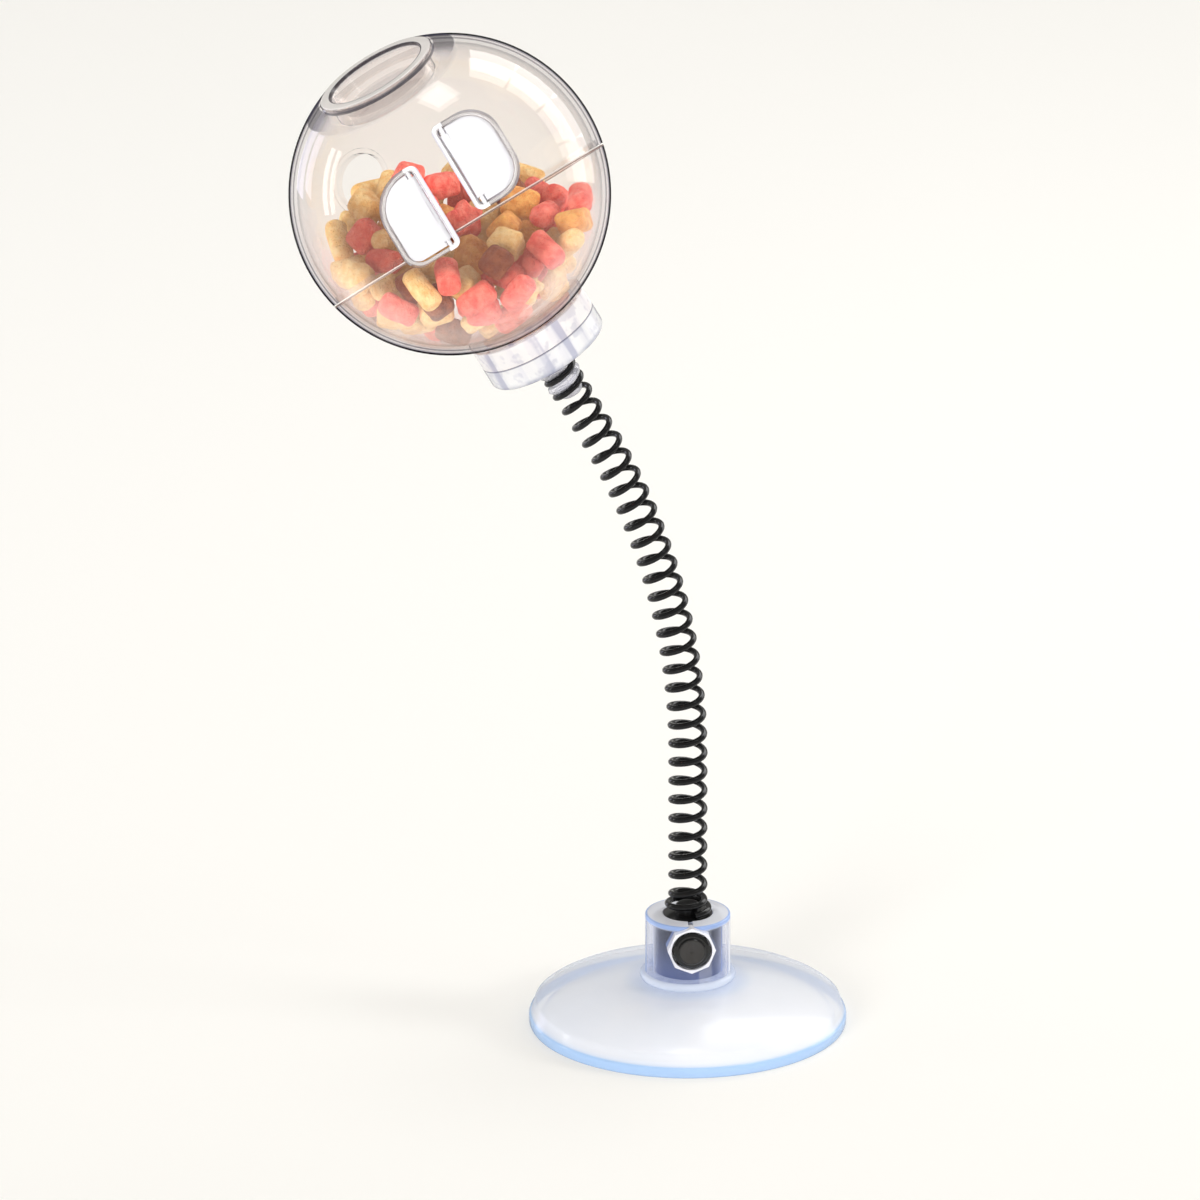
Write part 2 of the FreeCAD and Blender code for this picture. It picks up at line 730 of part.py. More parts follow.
treat_kinds = (
    ("sand_sticks", stick(10.4, 5.0), 3.4, (0.0,), 5),
    ("sand_pillows", pillow(7.4, 6.2, 4.9), 1.8, (-1.1, 1.1), 5),
    ("sand_stars", star(5.0, 3.0, 3.8), 1.6, (-1.6, 1.6), 1),
    ("red_sticks", stick(8.8, 5.5), 2.6, (0.0,), 5),
    ("red_pillows", pillow(7.0, 6.0, 5.0), 1.6, (-1.0, 1.0), 5),
    ("red_stars", star(4.8, 2.9, 4.0), 1.6, (-1.6, 1.6), 1),
    ("orange_pillows", pillow(8.2, 6.8, 5.0), 2.2, (-1.3, 1.3), 4),
    ("brown_pillows", pillow(6.8, 6.0, 4.9), 1.6, (-1.0, 1.0), 3),
)


def drop_treats():
    """Drops treats onto the heap until its sloping top is reached. Returns {kind: [solid, ...]}."""
    dice = random.Random(treat_seed)
    up = V(treat_slope[0], treat_slope[1], 1).normalize()
    heap = FreeCAD.Placement(ball_centre, FreeCAD.Rotation(V(0, 0, 1), up))
    seam_up = heap.Rotation.inverted().multVec(SEAM_FRAME.Rotation.multVec(V(0, 0, 1)))
    reach = ball_inner_r - treat_clearance
    bag = []
    for name, shape, half, rows, share in treat_kinds:
        bag += [(name, shape) + ball_row(shape, half, rows)] * share
    balls = []
    lying = []
    placed = {kind[0]: [] for kind in treat_kinds}
    misses = 0
    while True:
        name, shape, centres, radius = dice.choice(bag)
        room = reach - radius
        best = None
        for _ in range(treat_tries):
            turn = FreeCAD.Rotation(dice.uniform(0, 360), dice.uniform(-50, 50), dice.uniform(-60, 60))
            offsets = [turn.multVec(c) for c in centres]
            angle, out = dice.uniform(0, 2 * math.pi), room * math.sqrt(dice.random())
            x, y = out * math.cos(angle), out * math.sin(angle)
            level = rest_level(offsets, radius, x, y, room, balls)
            if level is not None and (best is None or level - heap_top(x, y) < best[0]):
                best = (level - heap_top(x, y), level, x, y, turn, offsets)
        if best is None or best[0] > 0:
            misses += 1
            if misses == treat_misses:
                return {kind: [moved(t, heap) for t in solids] for kind, solids in placed.items()}
            continue
        _, level, x, y, turn, offsets = best
        treat = moved(shape, FreeCAD.Placement(V(x, y, level), turn))
        drop = settle(treat, lying, seam_up)
        balls += [(x + o.x, y + o.y, level - drop + o.z, radius) for o in offsets]
        lying.append(treat)
        placed[name].append(treat)


def heap_top(x, y):
    """How high treats may come to rest: a level top with a mound in it."""
    off = (x - treat_mound_at[0]) ** 2 + (y - treat_mound_at[1]) ** 2
    return treat_fill + treat_mound * math.exp(-off / treat_mound_r ** 2)


def settle(treat, lying, seam_up):
    """Lowers a treat until it all but touches the wall or another treat. Returns how far it went."""
    drop = 0.0
    for _ in range(treat_steps):
        box = treat.BoundBox
        box.enlarge(treat_near)
        clear = min([treat_near, wall_room(treat, seam_up)])
        for other in lying:
            if clear > treat_touch and box.intersect(other.BoundBox):
                clear = min(clear, treat.distToShape(other)[0])
        if clear < 2 * treat_touch:
            break
        treat.translate(V(0, 0, treat_touch - clear))
        drop += clear - treat_touch
    return drop


def wall_room(treat, seam_up):
    """Clear distance to the ball's wall, with more room kept above the seam, where the wall lifts away."""
    least = treat_near
    for vertex in treat.Vertexes:
        point = vertex.Point
        off = treat_clearance if point.dot(seam_up) > -seam_drop - treat_touch else treat_touch
        least = min(least, ball_inner_r - off - point.Length)
    return least


def rest_level(offsets, radius, x, y, room, lying):
    """The lowest level at which the treat clears the ball's wall and all that lies there, or None."""
    level = -room
    for o in offsets:
        flat = (x + o.x) ** 2 + (y + o.y) ** 2
        if flat >= room ** 2:
            return None
        level = max(level, -math.sqrt(room ** 2 - flat) - o.z)
    for px, py, pz, pr in lying:
        touch = (radius + pr) ** 2
        for o in offsets:
            flat = (x + o.x - px) ** 2 + (y + o.y - py) ** 2
            if flat < touch:
                level = max(level, pz + math.sqrt(touch - flat) - o.z)
    for o in offsets:
        if (x + o.x) ** 2 + (y + o.y) ** 2 + (level + o.z) ** 2 > (room + 1e-6) ** 2:
            return None
    return level


def treats():
    placed = drop_treats()
    print("treats:", {name: len(solids) for name, solids in placed.items()})
    for name, solids in placed.items():
        save(name, Part.makeCompound(solids))


save("suction_cup", suction_cup())
save("collar", collar())
save("spring_plug", spring_plug())
save("screw_bezel", screw_bezel())
save("clamp_screw", clamp_screw())
save("spring", spring())
print("spring: least gap of the wire to itself %.2f mm" % least_coil_gap())
save("spigot", spigot())
save("neck_cap", neck_cap())
save("lower_shell", lower_shell())
save("upper_shell", upper_shell())
save("filler_lid", filler_lid())
for side in window_mid:
    save("%s_frame" % side, moved(flap_frame(side), SEAM_FRAME))
    save("%s_flap" % side, moved(flap(side), SEAM_FRAME))
    save("%s_flap_pin" % side, moved(flap_pin(side), SEAM_FRAME))
treats()
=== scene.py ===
# %% [markdown]
# # Spring cat treat ball
# A clear treat-filled ball leans on a long coil spring above a soft suction cup. The rigid pieces come from the
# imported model, which is loaded first and never moved. This file adds the camera, the light, the finishes, and
# the pieces whose real form is rounder, softer or finer than a construction model needs: spring, cup, treats, and
# the beads and ribs at the windows.

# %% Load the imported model
import math
import bpy
from mathutils import Matrix, Vector


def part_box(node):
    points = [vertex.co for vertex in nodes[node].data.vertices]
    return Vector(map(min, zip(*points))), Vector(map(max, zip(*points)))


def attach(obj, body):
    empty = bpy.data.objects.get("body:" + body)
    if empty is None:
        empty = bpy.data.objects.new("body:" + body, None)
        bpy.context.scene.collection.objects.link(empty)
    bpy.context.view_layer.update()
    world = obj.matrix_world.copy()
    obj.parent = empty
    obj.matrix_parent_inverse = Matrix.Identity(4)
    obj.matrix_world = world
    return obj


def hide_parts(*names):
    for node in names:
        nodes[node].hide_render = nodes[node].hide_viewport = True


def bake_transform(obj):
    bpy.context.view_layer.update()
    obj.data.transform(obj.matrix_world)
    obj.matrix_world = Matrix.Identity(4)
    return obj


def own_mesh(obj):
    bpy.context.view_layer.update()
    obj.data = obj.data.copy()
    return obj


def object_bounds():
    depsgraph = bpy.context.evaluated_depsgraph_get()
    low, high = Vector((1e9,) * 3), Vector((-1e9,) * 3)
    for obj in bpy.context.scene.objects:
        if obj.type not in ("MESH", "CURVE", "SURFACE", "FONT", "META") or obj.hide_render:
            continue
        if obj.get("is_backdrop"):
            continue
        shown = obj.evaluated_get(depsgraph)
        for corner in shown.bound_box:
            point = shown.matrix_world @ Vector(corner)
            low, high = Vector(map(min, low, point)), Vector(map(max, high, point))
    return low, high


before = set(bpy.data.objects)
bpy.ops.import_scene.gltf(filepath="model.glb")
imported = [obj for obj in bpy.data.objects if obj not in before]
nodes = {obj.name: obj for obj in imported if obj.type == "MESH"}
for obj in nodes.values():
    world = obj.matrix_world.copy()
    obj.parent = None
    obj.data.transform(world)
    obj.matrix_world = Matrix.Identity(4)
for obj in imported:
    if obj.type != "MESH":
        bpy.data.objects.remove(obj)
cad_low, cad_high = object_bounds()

MM = 0.001
print("loaded", len(nodes), "nodes,", "box in mm:", [round((h - l) / MM, 1) for l, h in zip(cad_low, cad_high)])

# %% [markdown]
# ## Camera
# The photograph was taken with a long lens from a little above the toy. A long lens keeps the cup's and the ball's
# ellipses nearly parallel, so the camera stands ten metres away and looks down by 21 degrees. The lens then
# follows from how many millimetres of the toy the picture has to hold.

# %% Camera
PHOTO_SIDE = 1200
MM_PER_PIXEL = 0.2512
CUP_PIXEL = (688, 1022)
TILT = math.radians(21)
DISTANCE = 10.0

middle_x = (PHOTO_SIDE / 2 - CUP_PIXEL[0]) * MM_PER_PIXEL * MM
middle_up = (CUP_PIXEL[1] - PHOTO_SIDE / 2) * MM_PER_PIXEL * MM
aim = Vector((middle_x, 0, middle_up / math.cos(TILT)))
back = Vector((0, -math.cos(TILT), math.sin(TILT)))

camera_data = bpy.data.cameras.new("camera")
camera = bpy.data.objects.new("camera", camera_data)
bpy.context.scene.collection.objects.link(camera)
camera_data.lens = camera_data.sensor_width * DISTANCE / (PHOTO_SIDE * MM_PER_PIXEL * MM)
camera_data.clip_start, camera_data.clip_end = 1.0, 40.0
camera.location = aim + back * DISTANCE
camera.rotation_mode = "QUATERNION"
camera.rotation_quaternion = (-back).to_track_quat("-Z", "Y")
bpy.context.scene.camera = camera
bpy.context.scene.view_settings.view_transform = "Standard"
print("lens in mm:", round(camera_data.lens, 1))

# %% [markdown]
# ## Writing materials as arithmetic
# A material is a small calculation: mix two browns by a noise, add a bump where the noise is high. Written node by
# node that takes many lines, so `Value` wraps one socket and lets Python's own operators add the Math nodes, and
# `Finish` holds one material and has a single method for every other kind of node.

# %% Value and Finish
class Value:
    """A node's output that can be added, multiplied and so on, with numbers or with other values."""

    def __init__(self, finish, socket):
        self.finish, self.socket = finish, socket

    def math(self, operation, first, second):
        """Adds one Math node."""
        return self.finish.node("Math", {"operation": operation}, {0: first, 1: second})

    def __add__(self, other):
        return self.math("ADD", self, other)

    def __sub__(self, other):
        return self.math("SUBTRACT", self, other)

    def __rsub__(self, other):
        return self.math("SUBTRACT", other, self)

    def __mul__(self, other):
        return self.math("MULTIPLY", self, other)

    def __pow__(self, other):
        return self.math("POWER", self, other)

    def out(self, name):
        """Another output of the same node."""
        return Value(self.finish, self.socket.node.outputs[name])

    __radd__, __rmul__ = __add__, __mul__


class Finish:
    """One material, or the world, and its nodes."""

    def __init__(self, name, home=None):
        self.home = home or bpy.data.materials.new(name)
        self.home.use_nodes = True
        self.tree = self.home.node_tree
        self.tree.nodes.clear()

    def node(self, kind, settings=None, sockets=None, output=0):
        """Adds a node, sets it up, fills its sockets with numbers, colours or values, and returns one output."""
        made = self.tree.nodes.new("ShaderNode" + kind)
        for name, setting in (settings or {}).items():
            setattr(made, name, setting)
        for name, value in (sockets or {}).items():
            if isinstance(value, Value):
                self.tree.links.new(value.socket, made.inputs[name])
            elif isinstance(value, tuple) and len(value) == 3 and made.inputs[name].type == "RGBA":
                made.inputs[name].default_value = value + (1.0,)
            else:
                made.inputs[name].default_value = value
        return Value(self, made.outputs[output])

    def place(self):
        """A point of the surface, in metres."""
        return self.node("TexCoord", output="Object")

    def off(self, start):
        """The way from a start point to a point of the surface."""
        return self.node("VectorMath", {"operation": "SUBTRACT"}, {0: self.place(), 1: tuple(start)})

    def along(self, direction, start=(0.0, 0.0, 0.0)):
        """How far a point lies along a direction, counted from a start point."""
        sockets = {0: self.off(start), 1: tuple(direction)}
        return self.node("VectorMath", {"operation": "DOT_PRODUCT"}, sockets, "Value")

    def far(self, start):
        """How far a point lies from a start point."""
        return self.node("VectorMath", {"operation": "LENGTH"}, {0: self.off(start)}, "Value")

    def facing(self, blend=0.5):
        """0 where the surface faces the viewer, and up to 1 where it is seen edge-on."""
        return self.node("LayerWeight", {}, {"Blend": blend}, "Facing")

    def drawn_out(self, direction, share):
        """The place, pressed together along a direction, so that a noise becomes streaks that run along it."""
        sockets = {0: tuple(direction), "Scale": self.along(direction) * share}
        press = self.node("VectorMath", {"operation": "SCALE"}, sockets)
        return self.node("VectorMath", {"operation": "SUBTRACT"}, {0: self.place(), 1: press})

    def noise(self, scale, detail=3.0, place=None):
        """Fine random variation. The scale is in features to the metre."""
        sockets = {"Vector": place or self.place(), "Scale": scale, "Detail": detail}
        return self.node("TexNoise", {}, sockets, "Fac")

    def between(self, value, low, high):
        """0 up to low and 1 from high on, with a smooth rise between. With low above high it falls instead."""
        sockets = {"Value": value, "From Min": low, "From Max": high}
        return self.node("MapRange", {"interpolation_type": "SMOOTHSTEP"}, sockets)

    def blend(self, share, first, second):
        """A colour between two, by a share from 0 to 1."""
        return self.node("Mix", {"data_type": "RGBA"}, {0: share, 6: first, 7: second}, 2)

    def bump(self, height, distance, strength=1.0):
        """Small dents and rises that only the light sees."""
        return self.node("Bump", {}, {"Height": height, "Distance": distance, "Strength": strength}, "Normal")

    def shine(self, sockets):
        """The surface itself."""
        return self.node("BsdfPrincipled", {}, sockets, "BSDF")

    def done(self, surface, kind="Material"):
        """Hands the surface to the output, and returns the finished material or world."""
        end = self.tree.nodes.new("ShaderNodeOutput" + kind)
        self.tree.links.new(surface.socket, end.inputs["Surface"])
        return self.home


def photo(red, green, blue):
    """A colour as seen in a photograph, turned into the linear light that Blender counts in."""
    return tuple(((c / 255 + 0.055) / 1.055) ** 2.4 for c in (red, green, blue))


print("a mid grey of 128 is", [round(c, 3) for c in photo(128, 128, 128)])

# %% [markdown]
# ## Floor, backdrop and light
# The toy stands on warm white paper with hardly any shadow. The floor is lit like any surface, and for the camera
# and for what clear plastic shows it also glows, so it turns nearly white while a soft shadow is kept. For all
# other light it counts as a darker paper, so it throws less light up.

# %% Stage
PAPER = photo(254, 252, 247)
BOUNCE = photo(214, 213, 210)
GLOW, GLOW_SHARE = 0.955, 0.50


def seen(f):
    """1 for what the camera sees, straight or through glass, and 0 for what only lights other things."""
    path = f.node("LightPath", output="Is Camera Ray")
    return f.between(path + path.out("Is Transmission Ray"), 0.0, 1.0)


def paper_finish():
    """Lit paper that also glows, for the camera alone."""
    f = Finish("paper")
    lit = f.node("BsdfDiffuse", {}, {"Color": f.blend(seen(f), BOUNCE, PAPER)})
    glow = f.node("Emission", {}, {"Color": PAPER, "Strength": GLOW})
    return f.done(f.node("MixShader", {}, {0: seen(f) * GLOW_SHARE, 1: lit, 2: glow}))


def set_mode(mode):
    """Turns edit mode on or off, where a piece is active."""
    if bpy.context.object and bpy.context.object.mode != mode:
        bpy.ops.object.mode_set(mode=mode)


def deselect():
    """Leaves edit mode and selects nothing."""
    set_mode("OBJECT")
    bpy.ops.object.select_all(action="DESELECT")


def only(piece):
    """Selects one piece alone and makes it the active one."""
    deselect()
    piece.select_set(True)
    bpy.context.view_layer.objects.active = piece


deselect()
bpy.ops.mesh.primitive_plane_add(size=12, location=(0, 0, 0))
floor = bpy.context.object
floor.name = "floor"
floor.data.materials.append(paper_finish())
floor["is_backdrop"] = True
print("the floor glows at", GLOW, "over", GLOW_SHARE, "of its surface for the camera")

# %% [markdown]
# Three large lamps give the plain light: one overhead, one far off on the right, and one in front on the left.
# Clear plastic is drawn by what it mirrors, so small lamps stand where the ball mirrors them. Four in a row draw
# the broad white arc at its right, one the arc inside that, and two the white and the lilac streak at its left.

# %% Lamps
ROOM_LIGHT = 0.38


def lamp(name, place, target, size, power, colour=(1, 1, 1)):
    """A rectangular lamp that faces its target. The camera doesn't see it, but shiny things do."""
    data = bpy.data.lights.new(name, "AREA")
    data.shape, data.size, data.size_y = "RECTANGLE", size[0], size[1]
    data.energy, data.color = power, colour
    made = bpy.data.objects.new(name, data)
    bpy.context.scene.collection.objects.link(made)
    made.location = place
    made.rotation_mode = "QUATERNION"
    made.rotation_quaternion = (Vector(target) - Vector(place)).to_track_quat("-Z", "Y")
    made.visible_camera = False
    return made


CENTRE = Vector((-0.059694, 0, 0.222334))
image_up = Vector((0, math.sin(TILT), math.cos(TILT)))
# Each lamp of the arc: its place, in degrees up from the right, and its power in watts.
ARC = ((15, 0.55), (34, 0.65), (53, 0.8), (72, 0.8))


def mirrored(name, clock, off, far, size, power, colour=(1, 1, 1)):
    """A lamp that the ball mirrors at a place on its picture: clock is the direction from the ball's middle, in
    degrees up from the right, off is the angle between the lamp and the camera, and size is along and across."""
    a, b = math.radians(clock), math.radians(off)
    side = Vector((math.cos(a), 0, 0)) + image_up * math.sin(a)
    along = Vector((-math.sin(a), 0, 0)) + image_up * math.cos(a)
    away = back * math.cos(b) + side * math.sin(b)
    made = lamp(name, CENTRE + away * far, CENTRE, size, power, colour)
    made.rotation_quaternion = Matrix((along, away.cross(along), away)).transposed().to_quaternion()
    return made


lamp("key", (-0.5, 0.5, 4.0), (0, 0, 0), (1.2, 1.2), 17.5, (1.0, 0.99, 0.97))
lamp("side", (5.8, -1.0, 2.1), (0, 0, 0.05), (1.5, 1.0), 188.0).visible_glossy = False
lamp("front", (-1.4, -2.8, 0.9), (0, 0, 0.15), (1.0, 0.8), 74.0).visible_glossy = False
for clock, power in ARC:
    mirrored("arc %d" % clock, clock, 113, 0.8, (0.245, 0.38), power)
mirrored("second arc", 55, 54, 1.5, (0.75, 0.16), 0.8)
mirrored("window", 174, 99, 0.9, (0.5, 0.08), 0.6)
mirrored("lilac window", 176, 134, 0.9, (0.7, 0.2), 0.9, (0.80, 0.78, 1.0))

world = bpy.data.worlds.new("room")
bpy.context.scene.world = world
f = Finish("room", world)
path = f.node("LightPath", output="Is Camera Ray")
away = f.node("Background", {}, {"Color": PAPER, "Strength": ROOM_LIGHT})
backdrop = f.node("Background", {}, {"Color": PAPER, "Strength": 1.0})
f.done(f.node("MixShader", {}, {0: path, 1: away, 2: backdrop}), "World")
print("the ball's middle in mm:", [round(c / MM, 1) for c in CENTRE])

# %% [markdown]
# ## Small helpers for shaping
# Turned pieces start as one circle, which is pulled from ring to ring along a profile. That is how a lathe or a
# round mould makes them, and every ring stays an even circle. Wires and beads are curves with a round bevel. The
# last lines of a piece are always the same: doubled points are merged, faces turned outward and the surface shaded
# smooth except at real edges.

# %% Helpers for shaping
def turned(name, profile, sides=96):
    """A form of revolution about the vertical axis, from (radius, height) points in mm."""
    deselect()
    r, z = profile[0]
    bpy.ops.mesh.primitive_circle_add(vertices=sides, radius=r * MM, location=(0, 0, z * MM))
    piece = bpy.context.object
    piece.name = name
    bpy.ops.object.transform_apply(location=True, rotation=True, scale=True)
    set_mode("EDIT")
    bpy.ops.mesh.select_all(action="SELECT")
    for r1, z1 in profile[1:]:
        bpy.ops.mesh.extrude_edges_move()
        bpy.ops.transform.resize(value=(r1 / r, r1 / r, 1), center_override=(0, 0, 0))
        bpy.ops.transform.translate(value=(0, 0, (z1 - z) * MM))
        r, z = r1, z1
    return piece


def apply_modifiers(piece):
    """Turns a piece's modifiers into plain points and faces."""
    only(piece)
    for modifier in list(piece.modifiers):
        bpy.ops.object.modifier_apply(modifier=modifier.name)


def finished(piece, finish, edge=35):
    """Merges doubled points, turns faces outward, shades smooth and gives the piece its finish."""
    only(piece)
    set_mode("EDIT")
    bpy.ops.mesh.select_all(action="SELECT")
    bpy.ops.mesh.remove_doubles(threshold=0.00001)
    bpy.ops.mesh.normals_make_consistent(inside=False)
    set_mode("OBJECT")
    bpy.ops.object.shade_smooth_by_angle(angle=math.radians(edge))
    piece.data.materials.clear()
    piece.data.materials.append(finish)
    print(piece.name, "has", len(piece.data.polygons), "faces")
    return piece


def tube(name, points, radius, finish, roundness=3, closed=False):
    """A round rod along points in metres, drawn as a curve with a round bevel. The radius is in mm."""
    curve = bpy.data.curves.new(name, "CURVE")
    curve.dimensions = "3D"
    line = curve.splines.new("POLY")
    line.points.add(len(points) - 1)
    line.use_cyclic_u = closed
    for point, place in zip(line.points, points):
        point.co = (*place, 1)
    curve.bevel_depth, curve.bevel_resolution, curve.use_fill_caps = radius * MM, roundness, not closed
    piece = bpy.data.objects.new(name, curve)
    bpy.context.scene.collection.objects.link(piece)
    only(piece)
    bpy.ops.object.convert(target="MESH")
    return finished(bpy.context.object, finish, 60)


# %% [markdown]
# ## Spring
# The spring is steel wire of 1.6 mm, wound on a mandrel and coated glossy black. Its centreline rises straight,
# bends over and leans 30 degrees. The first turns grip the plug closely, the free ones stand five millimetres
# apart, and the last ones follow the ridge of the ball's spigot. Each point comes from the same rule: go up the
# centreline by the pitch so far, then out by the coil's radius. A curve with a round bevel becomes the wire.

# %% The winding rule
STRAIGHT, BEND_R, LEAN = 41.85, 175.0, math.radians(30)
FOOT_Z = 30.2
PITCHES = ((0.0, 2.2), (1.2, 2.2), (1.8, 5.0688), (28.8, 5.0688), (29.4, 4.2), (32.0, 4.2))
TURNS, WIRE_R, PER_TURN = 32.0, 0.8, 32
FOOT_COIL_R, DRAWN_IN, START = 5.25, 1.05, math.radians(-70)


def centreline(s):
    """Point and lean of the spring's middle at a distance from its foot."""
    bend = BEND_R * LEAN
    a = min(max(s - STRAIGHT, 0), bend) / BEND_R
    place = Vector((-BEND_R * (1 - math.cos(a)), 0, FOOT_Z + min(s, STRAIGHT) + BEND_R * math.sin(a)))
    return place + Vector((-math.sin(a), 0, math.cos(a))) * max(s - STRAIGHT - bend, 0), a


def climb(turn):
    """Distance along the centreline after so many turns."""
    gone = 0.0
    for (u0, p0), (u1, p1) in zip(PITCHES, PITCHES[1:]):
        if turn > u0:
            u = min(turn, u1)
            gone += (u - u0) * (2 * p0 + (p1 - p0) * (u - u0) / (u1 - u0)) / 2
    return gone


def on_coil(turn):
    """Point of the wire's middle. The foot coil is wide, and the next turn draws in."""
    place, a = centreline(climb(turn))
    share = min(1.0, max(0.0, (turn - 0.5) / 0.7))
    r = FOOT_COIL_R - DRAWN_IN * share * share * (3 - 2 * share)
    phase = START + 2 * math.pi * turn
    across = Vector((math.cos(a), 0, math.sin(a)))
    return (place + across * (r * math.cos(phase)) + Vector((0, r * math.sin(phase), 0))) * MM


print("foot and tip in mm:", on_coil(0) / MM, on_coil(TURNS) / MM)

# %% [markdown]
# The spring sways sideways about a place in its lower part and forward about one in its upper part, and one piece
# can only bend across one joint. So the wire is drawn as two lengths that meet end to end between the two.

# %% Wire
def enamel():
    """Glossy black with a faint speckle."""
    f = Finish("black enamel")
    speck = f.noise(1800, 4)
    tone = f.blend(f.between(speck, 0.35, 0.75), photo(4, 4, 5), photo(14, 14, 16))
    sockets = {"Base Color": tone, "Roughness": 0.14, "Specular IOR Level": 0.35}
    sockets["Coat Weight"], sockets["Coat Roughness"] = 0.2, 0.04
    sockets["Normal"] = f.bump(f.noise(900, 2), 0.00002, 0.35)
    return f.done(f.shine(sockets))


def wire(name, first, last, finish):
    """The wire from one turn to another."""
    count = round((last - first) * PER_TURN)
    points = [on_coil(first + (last - first) * i / count) for i in range(count + 1)]
    return tube(name, points, WIRE_R, finish, roundness=4)


HALF = 18.5
black = enamel()
lower_wire = wire("lower_wire", 0, HALF, black)
upper_wire = wire("upper_wire", HALF, TURNS, black)
half_way = centreline(climb(HALF))[0] * MM
print("the lengths meet at", half_way)
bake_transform(lower_wire)
half_way + Vector((0, 0, 0.001))
centreline(climb(28.8))[0] * MM
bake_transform(upper_wire)
for piece in (lower_wire, upper_wire):
    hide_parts("spring")

# %% [markdown]
# ## Suction cup
# The cup is moulded from soft clear vinyl. It is milky white in its thin dome and blue where there is more of it:
# in the rim, along the edge and in the boss under the collar. The rim stands upright and flat-footed, and presses
# to the floor all round. The profile runs from the stud that the collar's plug grips, over the dome, round the
# rim and back under the dome. The small rings at its two ends are closed to points.

# %% Vinyl
def vinyl():
    """Soft and milky, and bluer in the rim, in the boss and where it is seen edge-on, with a faint painted glow."""
    f = Finish("soft clear vinyl")
    x = f.node("SeparateXYZ", {}, {0: f.place()}, "X")
    y = x.out("Y")
    out = (x * x + y * y) ** 0.5
    rim = f.between(out, 0.0389, 0.0398)
    boss = f.between(out, 0.0175, 0.0125)
    cloud = f.noise(45, 2)
    milk = f.blend(f.between(cloud, 0.3, 0.7), photo(248, 250, 254), photo(254, 254, 255))
    tone = f.blend(boss * 0.55, milk, photo(198, 217, 248))
    tone = f.blend(rim, tone, photo(166, 200, 241))
    edge = f.facing(0.35)
    tone = f.blend(f.between(edge, 0.68, 0.90) * 0.8, tone, photo(166, 196, 240))
    # Painted glow: the vinyl glows faintly in its own tone, which lifts its shaded side.
    body = f.shine({
        "Base Color": tone, "Roughness": 0.22, "Coat Weight": 0.7, "Coat Roughness": 0.08,
        "Emission Color": tone, "Emission Strength": 0.08,
    })
    clear = f.node("BsdfTransparent", {}, {"Color": photo(248, 250, 255)})
    solid = 0.50 + rim * 0.35 + f.between(edge, 0.80, 0.98) * 0.3
    return f.done(f.node("MixShader", {}, {0: solid, 1: clear, 2: body}))


END_R = 0.6


def cup():
    """The profile of the moulded cup, in mm."""
    half, rim_in, rim_top, dome, wall = 40, 37.4, 3.0, 9.2, 2.9

    def outer(r):
        return r, rim_top + dome * math.sqrt(1 - (r / half) ** 2)

    profile = [(END_R, 18), (5.2, 18), (5.77, 17.77), (6, 17.2), (6, 14), (11.1, 14)]
    for i in range(1, 8):
        angle = math.pi * (0.5 - i / 8)
        profile.append((11.1 + math.cos(angle), 13 + math.sin(angle)))
    profile += [(11.1, 12), outer(11.1)] + [outer(r) for r in (14, 18, 22, 26, 30, 33.5, 36, 37.8, 38.6)]
    profile += [(39.3, 2.92), (39.8, 2.65), (half, 2.2), (half, 0.4), (39.85, 0.1), (39.6, 0), (rim_in, 0)]
    for r in (37.2, 36.2, 34, 31, 27, 22, 17, 12, 7, END_R):
        profile.append((r, outer(r * half / rim_in)[1] - wall) if r < 37 else (r, 0.5))
    return profile


cup_piece = turned("soft_cup", cup(), 128)
for at_top in (True, False):
    set_mode("EDIT")
    bpy.ops.mesh.select_all(action="DESELECT")
    set_mode("OBJECT")
    top = max(v.co.z for v in cup_piece.data.vertices)
    for vertex in cup_piece.data.vertices:
        near = math.hypot(vertex.co.x, vertex.co.y) < 1.5 * END_R * MM
        vertex.select = near and (vertex.co.z > top - 0.0001) == at_top
    set_mode("EDIT")
    bpy.ops.mesh.merge(type="CENTER")
finished(cup_piece, vinyl(), 50)
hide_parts("suction_cup")
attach(cup_piece, "cup")
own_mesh(cup_piece)

# %% [markdown]
# ## Clear plastics
# The ball, its neck, the collar and the small frames are moulded in clear styrene. Thin clear walls hardly bend
# what is behind them, but they mirror the room a little, more so the flatter one looks along them, and they turn
# dark at their outline. So each wall is mostly a see-through surface, with a gloss that grows towards its edge,
# and a solid tone is mixed in where the plastic is thick. The dark line along the outline is painted: a dark tone
# set by how edge-on the wall is seen stands in for the dark refraction there.

# %% Clear plastic
# The ball's axis from its mouth to its filler hole, and the ways up from the seam and along it, as in the model.
# Heights of the mouth and the seam are counted from the ball's middle, and the collar's top from the floor.
AXIS = Vector((-0.5, 0, 0.866025))
SEAM_UP = Vector((-0.5195, 0.3062, 0.7977))
SEAM_X = Vector((0.8544, 0.1862, 0.4850))
MOUTH, SEAM_DROP, COLLAR_TOP = -0.0434, 0.0094, 0.0293
LINE = photo(22, 18, 26)
LILAC = photo(208, 206, 220)


